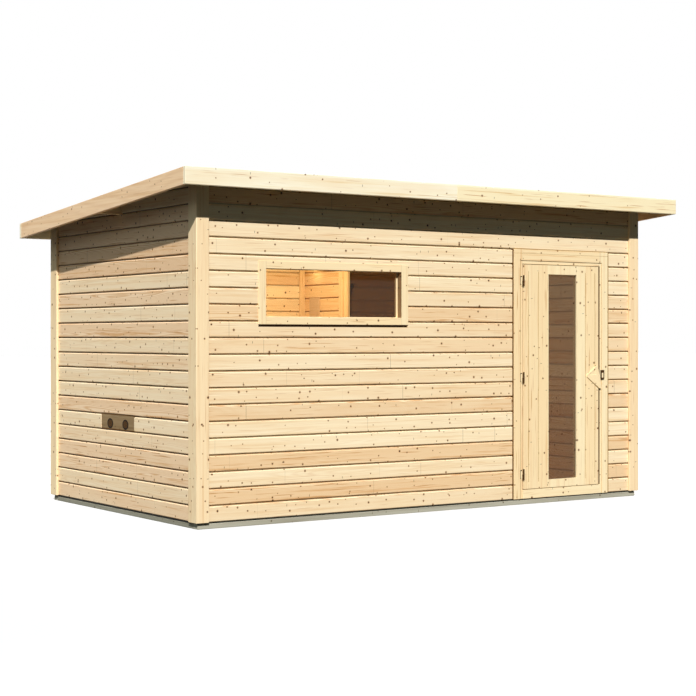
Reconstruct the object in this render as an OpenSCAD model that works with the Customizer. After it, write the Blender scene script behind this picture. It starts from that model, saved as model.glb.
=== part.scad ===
// Outdoor sauna cabin: plank walls on impregnated battens, a shed roof, a glazed board door,
// a sauna room behind the long window and a small front room behind the door.
// X runs along the front, Y to the back, Z up. The origin is under the middle of the roof.

/* [Walls] */
// Width of the cabin over its corner posts
wall_w = 3930; // [3500:10:4500]
// Depth of the cabin over its corner posts
wall_d = 2310; // [2100:10:2800]
// Thickness of the wall planks
plank_t = 38; // [28:1:45]
// Height that one wall plank covers
plank_h = 109; // [100:1:112]
// Depth of the grooves in the corner posts
groove = 28; // [15:1:32]

/* [Corner posts] */
// Width of a post on the long fronts
post_w = 94; // [90:1:120]
// Width of a post on the short sides
post_d = 110; // [96:1:130]
// How far a post stands out from the planks
post_proud = 19; // [10:1:24]
// Radius of the outer edge of a post
post_round = 5; // [2:0.5:8]

/* [Base] */
// Height of the base battens
sill_h = 42; // [30:1:60]
// Width of the base battens
sill_w = 60; // [50:1:80]
// Distance of the battens behind the post faces
sill_inset = 22; // [15:1:30]
// Width of a floor joist
joist_w = 58; // [40:1:70]
// Number of floor joists in the sauna room
sauna_joists = 5; // [3:1:7]
// Number of floor joists in the front room
vestibule_joists = 4; // [3:1:6]
// Thickness of the floor boards
floor_t = 19; // [16:1:26]
// Gap round the floor panels
floor_gap = 6; // [4:1:12]

/* [Roof] */
// Roof overhang at the front
over_front = 212; // [170:1:260]
// Roof overhang at the left and right
over_side = 195; // [150:1:240]
// Roof overhang at the back
over_back = 133; // [100:1:180]
// Fall of the roof to the back, in degrees
roof_slope = 4.4; // [3:0.1:6]
// Height of the front fascia's lower edge above the front door frame
eave_over = 305; // [280:5:340]
// Height of the fascia boards
fascia_h = 113; // [100:1:130]
// Thickness of the fascia boards
fascia_t = 28; // [18:1:32]
// Thickness of the roof boards
deck_t = 19; // [16:1:26]
// Thickness of the roof felt
felt_t = 4; // [3:0.5:6]
// Width of the middle purlin
purlin_w = 60; // [45:1:80]
// Height of the middle purlin
purlin_h = 78; // [60:1:90]

/* [Window] */
// Distance of the window frame from the left post's outer face
window_x = 476; // [400:1:600]
// Width over the window frame
window_w = 1225; // [1000:5:1400]
// Distance of the window frame's top below the front door frame's top
window_drop = 147; // [120:1:170]
// Height over the window frame
window_h = 421; // [380:1:440]
// Face width of the window frame's sides
window_face = 57; // [45:1:70]
// Height of the window frame's top and bottom rails
window_rail = 50; // [40:1:60]
// Depth of the window frame
window_depth = 78; // [60:1:90]
// How far the window frame stands out from the planks
window_proud = 5; // [2:1:12]
// Width of the rebate bead beside the pane
bead_w = 15; // [10:1:20]
// Height of that bead over and under the pane
bead_lip = 3; // [2:0.5:6]
// Thickness of the window pane
pane_t = 8; // [4:1:10]
// Open joint under the window frame
window_joint = 13; // [8:1:18]
// Thickness of the plank's lip that closes this joint on the inside
joint_lip = 15; // [10:1:18]

/* [Front door] */
// Distance of the door frame from the left post's outer face
door_x = 2671; // [2600:1:2720]
// Width over the door frame
door_w = 942; // [900:1:980]
// Face height of the door frame's head
head_face = 83; // [70:1:95]
// Height of the drip board at the top of the head
drip_h = 30; // [20:1:40]
// Height of the line under the drip board
drip_line = 2; // [1:0.5:4]
// Depth of that line
drip_depth = 2; // [1:0.5:3]
// Face width of the door frame
frame_face = 60; // [50:1:70]
// Width of the recessed step inside the frame's face
frame_step = 25; // [18:1:35]
// Depth of that step
step_depth = 5.5; // [5:0.5:12]
// How far the door frame stands out from the planks
frame_proud = 7; // [4:1:12]
// Depth of the door frame
frame_depth = 84; // [76:1:100]
// Width of the stop behind the leaf
stop_w = 20; // [16:1:26]
// Height of the door threshold
threshold_h = 66; // [50:1:80]
// Open joint between the planks and the door frame
frame_joint = 9; // [6:1:12]
// Clearance round the door leaf
leaf_gap = 5; // [5:0.5:8]
// Clearance of the leaf on its latch side
latch_gap = 12; // [8:0.5:14]
// Thickness of the door leaf
leaf_t = 40; // [36:1:44]
// Width of the leaf's edge stiles and of the rails above and below its boards
stile_w = 43; // [36:1:55]
// Width of the glass slot in the leaf
slot_w = 284; // [200:1:300]
// Height of the leaf under the glass slot
slot_z = 60; // [50:1:120]
// Height of the glass slot
slot_h = 1540; // [1300:2:1560]
// Height of the leaf over the glass slot
slot_head = 69; // [50:1:90]
// Distance of the glass slot from the middle of the leaf
slot_shift = 12; // [0:1:20]
// Depth of the rebate that holds the glass
glass_rebate = 8; // [5:1:12]
// Width of the boards in the leaf
leaf_board = 99; // [85:1:110]
// Distance of the leaf's boards from its middle, towards the latch
board_shift = 7; // [0:1:12]
// Width of the grooves between the leaf's boards
leaf_groove = 5; // [3:0.5:7]
// Thickness of the glass in the leaf
leaf_glass_t = 6; // [4:1:8]
// Distance of that glass behind the leaf's face
leaf_glass_in = 14; // [10:1:20]

/* [Door fittings] */
// Radius of the hinge barrels
barrel_r = 6; // [5:0.5:8]
// Height of a hinge barrel
barrel_h = 80; // [60:1:100]
// Radius of the hinge pins
hinge_pin_r = 3.5; // [3:0.25:4]
// Space between the hinge barrels and the door frame
barrel_out = 1.5; // [1:0.5:3]
// Thickness of the cap over a hinge pin
hinge_cap = 5; // [3:0.5:8]
// Free space over the end of a hinge pin
pin_end = 3; // [2:0.5:5]
// Gap between the two halves of a hinge
hinge_gap = 1; // [0.5:0.5:2]
// Distance of the lowest hinge above the leaf's foot
hinge_low = 110; // [80:1:180]
// Distance of the highest hinge below the leaf's top
hinge_high = 120; // [80:1:180]
// Thickness of a hinge plate
hinge_plate = 2.5; // [2:0.5:4]
// Thickness of the web between barrel and plate
hinge_web = 3; // [2:0.5:4]
// Width of a hinge plate on the door frame
frame_plate_w = 10; // [8:1:16]
// Width of a hinge plate on the door leaf
leaf_plate_w = 16; // [10:1:30]
// Width of the triangular handle, from its tip to its lower corner
handle_w = 147; // [110:1:160]
// Height of the triangular handle
handle_h = 175; // [140:1:200]
// Height of the handle's tip over its lower corner
handle_tip = 98; // [80:1:120]
// How far the handle's upper corner stands back from its lower one
handle_lean = 35; // [0:1:45]
// Thickness of the triangular handle beside the leaf's edge
handle_t = 24; // [18:1:34]
// Thickness of the handle at its tip
handle_thin = 8; // [6:1:20]
// Height of the handle's lower corner above the wall's foot
handle_low = 805; // [700:1:900]
// Radius of the handle's corners
handle_round = 12; // [8:1:18]
// How far the handle's lower corner stands past the leaf's edge
handle_out = 23; // [5:1:26]
// Bevel round the handle's face
handle_edge = 4; // [2:0.5:5]
// Width of the roller catch
catch_w = 28; // [24:1:40]
// Height of the roller catch
catch_h = 38; // [30:1:60]
// Height of the roller catch's foot above the wall's foot
catch_low = 883; // [800:1:950]
// Depth of the roller catch
catch_d = 10; // [6:1:12]
// Distance of the roller catch from the leaf's edge
catch_gap = 22; // [16:1:28]
// Width of the hook on the roller catch
hook_w = 12; // [8:1:16]
// Height of that hook
hook_h = 26; // [20:1:40]
// Depth of that hook
hook_d = 6; // [4:0.5:8]

/* [Vent] */
// Distance of the vent board from the front posts' outer face
vent_y = 927; // [600:1:1200]
// Width of the vent board
vent_w = 524; // [400:1:600]
// Number of whole planks under the vent board
vent_row = 5; // [3:1:8]
// Radius of the vent holes
vent_r = 35; // [25:1:42]
// Distance between the vent holes
vent_pitch = 242; // [150:1:300]
// Distance of the vent holes below the board's middle
vent_drop = 12; // [0:1:14]
// Depth of the vent board behind the planks' face
vent_in = 8; // [5:1:14]

/* [Partition and inner door] */
// Distance of the partition from the left post's outer face
part_x = 2262; // [2150:1:2350]
// Clear width of the inner doorway
inner_w = 690; // [600:5:720]
// Distance of the inner doorway from the front posts' outer face
inner_y = 904; // [800:1:1000]
// Distance of the inner doorway's head below the front door frame's top
inner_drop = 43; // [40:1:80]
// Height of the inner threshold
inner_sill = 45; // [40:1:60]
// Face width of the inner door frame
inner_face = 50; // [40:1:60]
// How far the inner door frame stands out from the partition
inner_proud = 4; // [2:1:8]
// Width of the inner frame's rebate
inner_rebate = 12; // [8:1:14]
// Depth of the stop in front of the glass door
inner_stop = 23; // [18:1:26]
// Thickness of the glass door
door_glass_t = 8; // [6:1:10]
// Distance of the glass door's hinges from its ends
inner_hinge_in = 225; // [150:5:300]
// Width of a hinge plate on the inner frame
inner_frame_plate_w = 14; // [10:1:20]
// Width of a hinge plate on the glass
inner_glass_plate_w = 40; // [30:1:50]
// Distance of the grips from the glass door's free edge
grip_in = 70; // [50:1:100]
// Height of the grips' middle above the wall's foot
grip_mid = 1000; // [900:10:1100]
// Length of a grip
grip_len = 260; // [200:5:320]
// Width of a grip
grip_w = 30; // [24:1:40]
// Distance of a grip's middle from the glass
grip_off = 32; // [25:1:45]
// Radius of the pins that join the grips
grip_pin_r = 6; // [5:0.5:8]
// Width of the corner battens beside the partition
batten_w = 48; // [30:1:60]
// Thickness of the corner battens
batten_t = 18; // [12:1:24]

/* [Hidden] */

// Running clearance between fixed pieces that fit into each other
fit = 0.3;
// Radial clearance of a hinge pin
pin_fit = 0.06;
// Overlap of cutting bodies past the faces they cut
past = 20;
// Sides of the round hinge parts
round_fn = 32;
// Sides of the vent holes
vent_fn = 48;

// Lines of the plan, from the post faces
x_left = -wall_w / 2;
x_right = wall_w / 2;
y_front = over_front - (wall_d + over_front + over_back) / 2;
y_back = y_front + wall_d;
x_in_left = x_left + post_proud + plank_t;
x_in_right = x_right - post_proud - plank_t;
y_in_front = y_front + post_proud + plank_t;
y_in_back = y_back - post_proud - plank_t;
z_foot = sill_h;
z_floor = sill_h + floor_t;

// Heights of the front door
leaf_z = z_foot + threshold_h + leaf_gap;
leaf_h = slot_z + slot_h + slot_head;
leaf_top = leaf_z + leaf_h;
fr_top = leaf_top + leaf_gap + frame_step + head_face;

// Lines of the roof
eave_z = fr_top + eave_over;
roof_x = wall_w / 2 + over_side;
roof_y = y_front - over_front;
roof_y_back = y_back + over_back;
fall = tan(roof_slope);
function z_fascia(y) = eave_z - fall * (y - roof_y);
function z_deck(y) = z_fascia(y) + fascia_h - felt_t - deck_t;
z_high = z_deck(roof_y) + past;
y_purlin = (y_front + y_back) / 2;
z_purlin = z_deck(y_purlin + purlin_w / 2) - fit - purlin_h;

// Lines of the window
win_x = x_left + window_x;
win_z = fr_top - window_drop - window_h;
win_y = y_front + post_proud - window_proud;

// Lines of the front door
fr_x = x_left + door_x;
fr_y = y_front + post_proud - frame_proud;
leaf_x = fr_x + frame_face + frame_step + leaf_gap;
leaf_w = door_w - 2 * (frame_face + frame_step) - leaf_gap - latch_gap;
hinge_z = [leaf_z + hinge_low, leaf_z + (leaf_h + hinge_low - hinge_high) / 2,
    leaf_top - hinge_high];
axis_x = leaf_x - leaf_gap / 2;
axis_y = fr_y - barrel_r - barrel_out;
slot_x = leaf_x + (leaf_w - slot_w) / 2 + slot_shift;

// Lines of the partition and the inner door
px = x_left + part_x;
px_back = px + plank_t;
in_y = y_front + inner_y;
in_top = fr_top - inner_drop;
in_bottom = z_floor + inner_sill;
in_x = px - inner_proud;
in_x_back = px_back + inner_proud;
glass_x = in_x + inner_stop + leaf_gap;
glass_y = in_y - inner_rebate + leaf_gap;
glass_w = inner_w + 2 * (inner_rebate - leaf_gap);
glass_z = in_bottom + leaf_gap;
glass_h = in_top + inner_rebate - leaf_gap - glass_z;
in_axis_x = in_x_back + barrel_r + barrel_out;
in_axis_y = in_y + inner_w + inner_rebate - leaf_gap / 2;
inner_hinge_z = [glass_z + inner_hinge_in, glass_z + glass_h - inner_hinge_in];
grip_y = glass_y + grip_in;
grip_z = z_foot + grip_mid;

// Lines of the base battens, the wall planks, the vent board and the fascia boards
sill_xa = x_left + sill_inset;
sill_xb = x_right - sill_inset;
sill_ya = y_front + sill_inset;
sill_yb = y_back - sill_inset;
wall_xa = x_left + post_w - groove + fit;
wall_xb = x_right - post_w + groove - fit;
wall_ya = y_front + post_d - groove + fit;
wall_yb = y_back - post_d + groove - fit;
vent_z = z_foot + vent_row * plank_h;
fascia_high = deck_t + felt_t;
fascia_low = fascia_high - fascia_h;

spruce = [0.96, 0.85, 0.68];
pale_spruce = [0.98, 0.89, 0.74];
warm_spruce = [0.93, 0.70, 0.42];
impregnated = [0.58, 0.58, 0.50];
bronze = [0.30, 0.22, 0.15, 0.6];
steel = [0.75, 0.75, 0.74];
weathered = [0.60, 0.50, 0.38];
felt = [0.22, 0.22, 0.22];

// Box between two corners
module span(a, b) {
    translate(a)
        cube(b - a);
}

// Everything just below the roof boards, between two lines along X
module under_roof(xa, xb, ya = roof_y, yb = roof_y_back) {
    translate([xa, 0, 0])
        rotate([90, 0, 90])
            linear_extrude(xb - xa)
                polygon([[ya, 0], [yb, 0], [yb, z_deck(yb) - fit], [ya, z_deck(ya) - fit]]);
}

// Space that the purlin passes through
module purlin_way(clearance = fit) {
    span([-roof_x, y_purlin - purlin_w / 2 - clearance, z_purlin - clearance],
        [roof_x, y_purlin + purlin_w / 2 + clearance, z_high]);
}

// Base battens
module sill(a, b) {
    color(impregnated)
        span(concat(a, 0), concat(b, sill_h - fit));
}
module sill_front() {
    sill([sill_xa, sill_ya], [sill_xb, sill_ya + sill_w]);
}
module sill_back() {
    sill([sill_xa, sill_yb - sill_w], [sill_xb, sill_yb]);
}
module sill_left() {
    sill([sill_xa, sill_ya + sill_w + fit], [sill_xa + sill_w, sill_yb - sill_w - fit]);
}
module sill_right() {
    sill([sill_xb - sill_w, sill_ya + sill_w + fit], [sill_xb, sill_yb - sill_w - fit]);
}

// Joists from the front batten to the back batten, spread over one room
module joists(xa, xb, count) {
    step = (xb - xa - joist_w) / (count - 1);
    for (i = [0:count - 1])
        span([xa + i * step, sill_ya + sill_w + fit, 0],
            [xa + i * step + joist_w, sill_yb - sill_w - fit, sill_h - fit]);
}
module floor_joists() {
    color(impregnated) {
        joists(sill_xa + sill_w + joist_w, px - joist_w, sauna_joists);
        joists(px_back + joist_w, sill_xb - sill_w - joist_w, vestibule_joists);
        span([px + (plank_t - joist_w) / 2, sill_ya + sill_w + fit, 0],
            [px + (plank_t + joist_w) / 2, sill_yb - sill_w - fit, sill_h - fit]);
    }
}

// Floor boards of a room, cut out round the corner posts and the door frame
module floor_panel(xa, xb) {
    difference() {
        span([xa + floor_gap, y_in_front + floor_gap, sill_h],
            [xb - floor_gap, y_in_back - floor_gap, z_floor]);
        for (x = [x_left, x_right - post_w], y = [y_front, y_back - post_d])
            span([x - floor_gap, y - floor_gap, 0],
                [x + post_w + floor_gap, y + post_d + floor_gap, z_high]);
        span([fr_x - floor_gap, y_front, 0],
            [fr_x + door_w + floor_gap, fr_y + frame_depth + floor_gap, z_high]);
    }
}
module floor_sauna() {
    color(warm_spruce)
        floor_panel(x_in_left, px);
}
module floor_vestibule() {
    color(spruce)
        floor_panel(px_back, x_in_right);
}

// Plan of a corner post with its outer corner at the origin and a groove for each wall
module post_plan() {
    groove_w = plank_t + 2 * fit;
    difference() {
        union() {
            translate([post_round, post_round])
                square([post_w - post_round, post_d - post_round]);
            translate([post_round, 0])
                square([post_w - post_round, post_d]);
            translate([0, post_round])
                square([post_w, post_d - post_round]);
            translate([post_round, post_round])
                circle(r = post_round, $fn = round_fn);
        }
        translate([post_w - groove, post_proud - fit])
            square([groove + past, groove_w]);
        translate([post_proud - fit, post_d - groove])
            square([groove_w, groove + past]);
    }
}
module post(at_right, at_back) {
    color(pale_spruce)
        intersection() {
            translate([at_right ? x_right : x_left, at_back ? y_back : y_front, z_foot])
                mirror([at_right ? 1 : 0, 0, 0])
                    mirror([0, at_back ? 1 : 0, 0])
                        linear_extrude(z_high - z_foot)
                            post_plan();
            under_roof(-roof_x, roof_x);
        }
}
module post_front_left() {
    post(false, false);
}
module post_front_right() {
    post(true, false);
}
module post_back_left() {
    post(false, true);
}
module post_back_right() {
    post(true, true);
}

// Planks of a long wall between two heights, their top cut to the roof
module long_wall(xa, xb, ya, za, zb) {
    intersection() {
        span([xa, ya, za], [xb, ya + plank_t, zb]);
        under_roof(xa - past, xb + past);
    }
}
module front_wall_left() {
    color(spruce)
        difference() {
            long_wall(wall_xa, fr_x - frame_joint, y_front + post_proud, z_foot, fr_top);
            span([win_x - fit, y_front, win_z - fit],
                [win_x + window_w + fit, y_in_front + past, win_z + window_h + fit]);
            // open joint under the frame, closed by a lip on the inside
            span([win_x - fit, y_front, win_z - window_joint],
                [win_x + window_w + fit, y_in_front - joint_lip, win_z]);
        }
}
module front_wall_right() {
    color(spruce)
        long_wall(fr_x + door_w + frame_joint, wall_xb, y_front + post_proud, z_foot, fr_top);
}
module front_wall_top() {
    color(spruce)
        long_wall(wall_xa, wall_xb, y_front + post_proud, fr_top + fit, z_high);
}
module back_wall() {
    color(spruce)
        long_wall(wall_xa, wall_xb, y_back - post_proud - plank_t, z_foot, z_high);
}

// Planks of a wall that runs front to back, notched for the purlin
module cross_wall(xa, ya, yb, za, zb) {
    difference() {
        intersection() {
            span([xa, ya, za], [xa + plank_t, yb, zb]);
            under_roof(xa - past, xa + plank_t + past);
        }
        purlin_way();
    }
}
module left_wall() {
    color(spruce)
        difference() {
            cross_wall(x_left + post_proud, wall_ya, wall_yb, z_foot, z_high);
            span([x_left, y_front + vent_y - fit, vent_z - fit],
                [x_in_left + past, y_front + vent_y + vent_w + fit, vent_z + plank_h + fit]);
        }
}
module right_wall() {
    color(spruce)
        cross_wall(x_in_right, wall_ya, wall_yb, z_foot, z_high);
}
module partition_front() {
    color(warm_spruce)
        cross_wall(px, y_in_front + fit, in_y - inner_face - fit, z_foot, in_top + inner_face);
}
module partition_back() {
    color(warm_spruce)
        cross_wall(px, in_y + inner_w + inner_face + fit, y_in_back - fit, z_foot,
            in_top + inner_face);
}
module partition_top() {
    color(warm_spruce)
        cross_wall(px, y_in_front + fit, y_in_back - fit, in_top + inner_face + fit, z_high);
}

// Battens that close the corners between the partition and the long walls
module corner_battens() {
    color(warm_spruce)
        intersection() {
            for (y = [y_in_front + fit, y_in_back - batten_t - fit])
                span([px - batten_w, y, z_floor + fit], [px - fit, y + batten_t, z_high]);
            under_roof(px - batten_w - past, px + past);
        }
}

// Window frame with a bead behind which the pane sits
module window_frame() {
    inner_y_face = win_y + window_depth;
    color(pale_spruce)
        difference() {
            span([win_x, win_y, win_z], [win_x + window_w, inner_y_face, win_z + window_h]);
            span([win_x + window_face, win_y - past, win_z + window_rail],
                [win_x + window_w - window_face, inner_y_face - 2 * bead_w,
                win_z + window_h - window_rail]);
            span([win_x + window_face + bead_w, win_y, win_z + window_rail + bead_lip],
                [win_x + window_w - window_face - bead_w, inner_y_face + past,
                win_z + window_h - window_rail - bead_lip]);
            span([win_x + window_face, inner_y_face - bead_w, win_z + window_rail],
                [win_x + window_w - window_face, inner_y_face + past,
                win_z + window_h - window_rail]);
        }
}
module window_glass() {
    color(bronze)
        span([win_x + window_face + fit, win_y + window_depth - bead_w + fit,
            win_z + window_rail + fit],
            [win_x + window_w - window_face - fit, win_y + window_depth - bead_w + pane_t,
            win_z + window_h - window_rail - fit]);
}

// Vent board in place of a piece of plank, with two round holes
module vent_board() {
    xa = x_left + post_proud + vent_in;
    color(weathered)
        difference() {
            span([xa, y_front + vent_y, vent_z],
                [x_in_left, y_front + vent_y + vent_w, vent_z + plank_h]);
            for (side = [-1, 1])
                translate([xa - past, y_front + vent_y + vent_w / 2 + side * vent_pitch / 2,
                    vent_z + plank_h / 2 - vent_drop])
                    rotate([0, 90, 0])
                        cylinder(r = vent_r, h = plank_t + 2 * past, $fn = vent_fn);
        }
}

// Front door frame: face, recessed step and the stop behind the leaf, open at the bottom
module frame_opening(inset_side, inset_top, ya, yb) {
    span([fr_x + inset_side, ya, z_foot - past],
        [fr_x + door_w - inset_side, yb, fr_top - inset_top]);
}
module door_frame() {
    side_in = frame_face + frame_step;
    top_in = head_face + frame_step;
    stop_y = fr_y + leaf_t + leaf_gap;
    color(pale_spruce)
        difference() {
            span([fr_x, fr_y, z_foot], [fr_x + door_w, fr_y + frame_depth, fr_top - fit]);
            frame_opening(frame_face, head_face, fr_y - past, fr_y + step_depth);
            frame_opening(side_in, top_in, fr_y - past, stop_y);
            frame_opening(side_in + stop_w, top_in + stop_w, fr_y, fr_y + frame_depth + past);
            // shallow line in the head that parts its drip board from the face
            span([fr_x - past, fr_y - past, fr_top - drip_h - drip_line],
                [fr_x + door_w + past, fr_y + drip_depth, fr_top - drip_h]);
        }
}
module door_threshold() {
    side_in = frame_face + frame_step;
    color(pale_spruce)
        difference() {
            span([fr_x + side_in + fit, fr_y, z_foot],
                [fr_x + door_w - side_in - fit, fr_y + frame_depth, z_foot + threshold_h]);
            for (x = [fr_x + side_in, fr_x + door_w - side_in - stop_w])
                span([x - fit, fr_y + leaf_t + leaf_gap - fit, z_foot - past],
                    [x + stop_w + fit, fr_y + frame_depth + past, z_foot + threshold_h + past]);
        }
}

// Block for the glass of the slot, with a clearance to its rebate
module slot_pane(clearance) {
    edge = glass_rebate - clearance;
    span([slot_x - edge, fr_y + leaf_glass_in + clearance, leaf_z + slot_z - edge],
        [slot_x + slot_w + edge, fr_y + leaf_glass_in + leaf_glass_t + 2 * fit - clearance,
        leaf_z + slot_z + slot_h + edge]);
}

// Board door leaf with a glass slot; the grooves run between the rails
module groove_line(x) {
    translate([x, fr_y, leaf_z + stile_w])
        linear_extrude(leaf_h - 2 * stile_w)
            polygon([[-leaf_groove / 2, -past], [leaf_groove / 2, -past], [leaf_groove / 2, 0],
                [0, leaf_groove / 2], [-leaf_groove / 2, 0]]);
}
module door_leaf() {
    color(pale_spruce)
        difference() {
            span([leaf_x, fr_y, leaf_z], [leaf_x + leaf_w, fr_y + leaf_t, leaf_top]);
            span([slot_x, fr_y - past, leaf_z + slot_z],
                [slot_x + slot_w, fr_y + leaf_t + past, leaf_z + slot_z + slot_h]);
            slot_pane(0);
            for (inset = [stile_w, stile_w + leaf_board]) {
                groove_line(leaf_x + board_shift + inset);
                groove_line(leaf_x + leaf_w + board_shift - inset);
            }
        }
}
module door_leaf_glass() {
    color(bronze)
        slot_pane(fit);
}

// Lower half of a hinge, with the pin: its plate lies at depth seat behind the axis
module hinge_lower(seat, plate_w) {
    half = barrel_h / 2;
    translate([0, 0, -half]) {
        cylinder(r = barrel_r, h = half - hinge_gap, $fn = round_fn);
        cylinder(r = hinge_pin_r, h = barrel_h - hinge_cap - pin_end, $fn = round_fn);
        span([-barrel_r, 0, 0], [-barrel_r + hinge_web, seat, half - hinge_gap]);
        span([-barrel_r - plate_w, seat - hinge_plate, 0],
            [-barrel_r + hinge_web, seat, half - hinge_gap]);
    }
}

// Upper half of a hinge, with the bore that turns on the pin
module hinge_upper(seat, plate_w) {
    half = barrel_h / 2;
    difference() {
        union() {
            cylinder(r = barrel_r, h = half, $fn = round_fn);
            span([barrel_r - hinge_web, 0, 0], [barrel_r, seat, half]);
            span([barrel_r - hinge_web, seat - hinge_plate, 0],
                [barrel_r + plate_w, seat, half]);
        }
        translate([0, 0, -past])
            cylinder(r = hinge_pin_r + pin_fit, h = past + half - hinge_cap, $fn = round_fn);
    }
}
module frame_hinges() {
    color(steel)
        for (z = hinge_z)
            translate([axis_x, axis_y, z])
                hinge_lower(fr_y + step_depth - axis_y, frame_plate_w);
}
module leaf_hinges() {
    color(steel)
        for (z = hinge_z)
            translate([axis_x, axis_y, z])
                hinge_upper(fr_y - axis_y, leaf_plate_w);
}

// Triangular wooden handle beside the leaf's edge, a wedge that thins out to its tip
module door_handle() {
    color(pale_spruce)
        translate([leaf_x + leaf_w + handle_out, fr_y, z_foot + handle_low])
            rotate([90, 0, 0])
                hull()
                    for (p = [[-handle_round, handle_round, handle_t],
                        [-handle_lean - handle_round, handle_h - handle_round, handle_t],
                        [-handle_w + handle_round, handle_tip, handle_thin]])
                        translate([p.x, p.y, 0]) {
                            cylinder(r = handle_round, h = p.z - handle_edge, $fn = round_fn);
                            cylinder(r = handle_round - handle_edge / 2, h = p.z,
                                $fn = round_fn);
                        }
}

// Roller catch on the frame beside the handle, with the hook above its roller
module door_catch() {
    catch_x = leaf_x + leaf_w + catch_gap;
    catch_z = z_foot + catch_low;
    color(steel) {
        span([catch_x, fr_y - catch_d, catch_z],
            [catch_x + catch_w, fr_y, catch_z + catch_h]);
        span([catch_x, fr_y - hook_d, catch_z + catch_h],
            [catch_x + hook_w, fr_y, catch_z + catch_h + hook_h]);
    }
}

// Inner door frame in the partition: stop on the sauna side, rebate for the glass behind it
module inner_door_frame() {
    color(warm_spruce)
        difference() {
            span([in_x, in_y - inner_face, z_floor + fit],
                [in_x_back, in_y + inner_w + inner_face, in_top + inner_face]);
            span([in_x - past, in_y, in_bottom], [in_x_back + past, in_y + inner_w, in_top]);
            span([in_x + inner_stop, in_y - inner_rebate, in_bottom],
                [in_x_back + past, in_y + inner_w + inner_rebate, in_top + inner_rebate]);
        }
}
module inner_door_glass() {
    color(bronze)
        difference() {
            span([glass_x, glass_y, glass_z],
                [glass_x + door_glass_t, glass_y + glass_w, glass_z + glass_h]);
            grip_pins(grip_pin_r + fit);
        }
}
module inner_frame_hinges() {
    color(steel)
        for (z = inner_hinge_z)
            translate([in_axis_x, in_axis_y, z])
                rotate([0, 0, 90])
                    mirror([1, 0, 0])
                        hinge_lower(in_axis_x - in_x_back, inner_frame_plate_w);
}
module inner_glass_hinges() {
    color(steel)
        for (z = inner_hinge_z)
            translate([in_axis_x, in_axis_y, z])
                rotate([0, 0, 90])
                    mirror([1, 0, 0])
                        hinge_upper(in_axis_x - glass_x - door_glass_t, inner_glass_plate_w);
}

// Two wooden grips joined through the glass
module grip_pins(r) {
    for (dz = [-grip_len / 3, grip_len / 3])
        translate([glass_x - grip_off, grip_y, grip_z + dz])
            rotate([0, 90, 0])
                cylinder(r = r, h = door_glass_t + 2 * grip_off, $fn = round_fn);
}
module inner_door_handle() {
    color(warm_spruce) {
        grip_pins(grip_pin_r);
        for (x = [glass_x - grip_off - grip_w / 2, glass_x + door_glass_t + grip_off - grip_w / 2])
            span([x, grip_y - grip_w / 2, grip_z - grip_len / 2],
                [x + grip_w, grip_y + grip_w / 2, grip_z + grip_len / 2]);
    }
}

// Middle purlin through the side walls and the partition
module purlin() {
    color(pale_spruce)
        span([-roof_x + fascia_t + fit, y_purlin - purlin_w / 2, z_purlin],
            [roof_x - fascia_t - fit, y_purlin + purlin_w / 2, z_purlin + purlin_h]);
}

// Sloping sheet of the roof, from a height above the deck's lower face
module roof_sheet(xa, xb, ya, yb, low, high) {
    translate([xa, 0, 0])
        rotate([90, 0, 90])
            linear_extrude(xb - xa)
                polygon([[ya, z_deck(ya) + low], [yb, z_deck(yb) + low],
                    [yb, z_deck(yb) + high], [ya, z_deck(ya) + high]]);
}
module roof_deck() {
    color(spruce)
        roof_sheet(-roof_x + fascia_t + fit, roof_x - fascia_t - fit,
            roof_y + fascia_t + fit, roof_y_back - fascia_t - fit, 0, deck_t);
}
module roof_felt() {
    color(felt)
        roof_sheet(-roof_x + fascia_t + fit, roof_x - fascia_t - fit,
            roof_y + fascia_t + fit, roof_y_back - fascia_t - fit, deck_t, deck_t + felt_t);
}

// Fascia boards; the front and back ones cover the ends of the side ones
module fascia_front_left() {
    color(pale_spruce)
        roof_sheet(-roof_x, -fit / 2, roof_y, roof_y + fascia_t, fascia_low, fascia_high);
}
module fascia_front_right() {
    color(pale_spruce)
        roof_sheet(fit / 2, roof_x, roof_y, roof_y + fascia_t, fascia_low, fascia_high);
}
module fascia_left() {
    color(pale_spruce)
        roof_sheet(-roof_x, -roof_x + fascia_t, roof_y + fascia_t, roof_y_back - fascia_t,
            fascia_low, fascia_high);
}
module fascia_right() {
    color(pale_spruce)
        roof_sheet(roof_x - fascia_t, roof_x, roof_y + fascia_t, roof_y_back - fascia_t,
            fascia_low, fascia_high);
}
module fascia_back() {
    color(pale_spruce)
        roof_sheet(-roof_x, roof_x, roof_y_back - fascia_t, roof_y_back,
            fascia_low, fascia_high);
}

sill_front();
sill_back();
sill_left();
sill_right();
floor_joists();
floor_sauna();
floor_vestibule();
post_front_left();
post_front_right();
post_back_left();
post_back_right();
front_wall_left();
front_wall_right();
front_wall_top();
back_wall();
left_wall();
right_wall();
partition_front();
partition_back();
partition_top();
corner_battens();
window_frame();
window_glass();
vent_board();
door_frame();
door_threshold();
door_catch();
frame_hinges();
door_leaf();
door_leaf_glass();
leaf_hinges();
door_handle();
inner_door_frame();
inner_frame_hinges();
inner_door_glass();
inner_glass_hinges();
inner_door_handle();
purlin();
roof_deck();
roof_felt();
fascia_front_left();
fascia_front_right();
fascia_left();
fascia_right();
fascia_back();
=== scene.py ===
# Outdoor sauna cabin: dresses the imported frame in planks, boards, felt, glass and steel
import math

import bmesh
import bpy
from mathutils import Matrix, Vector


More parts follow.
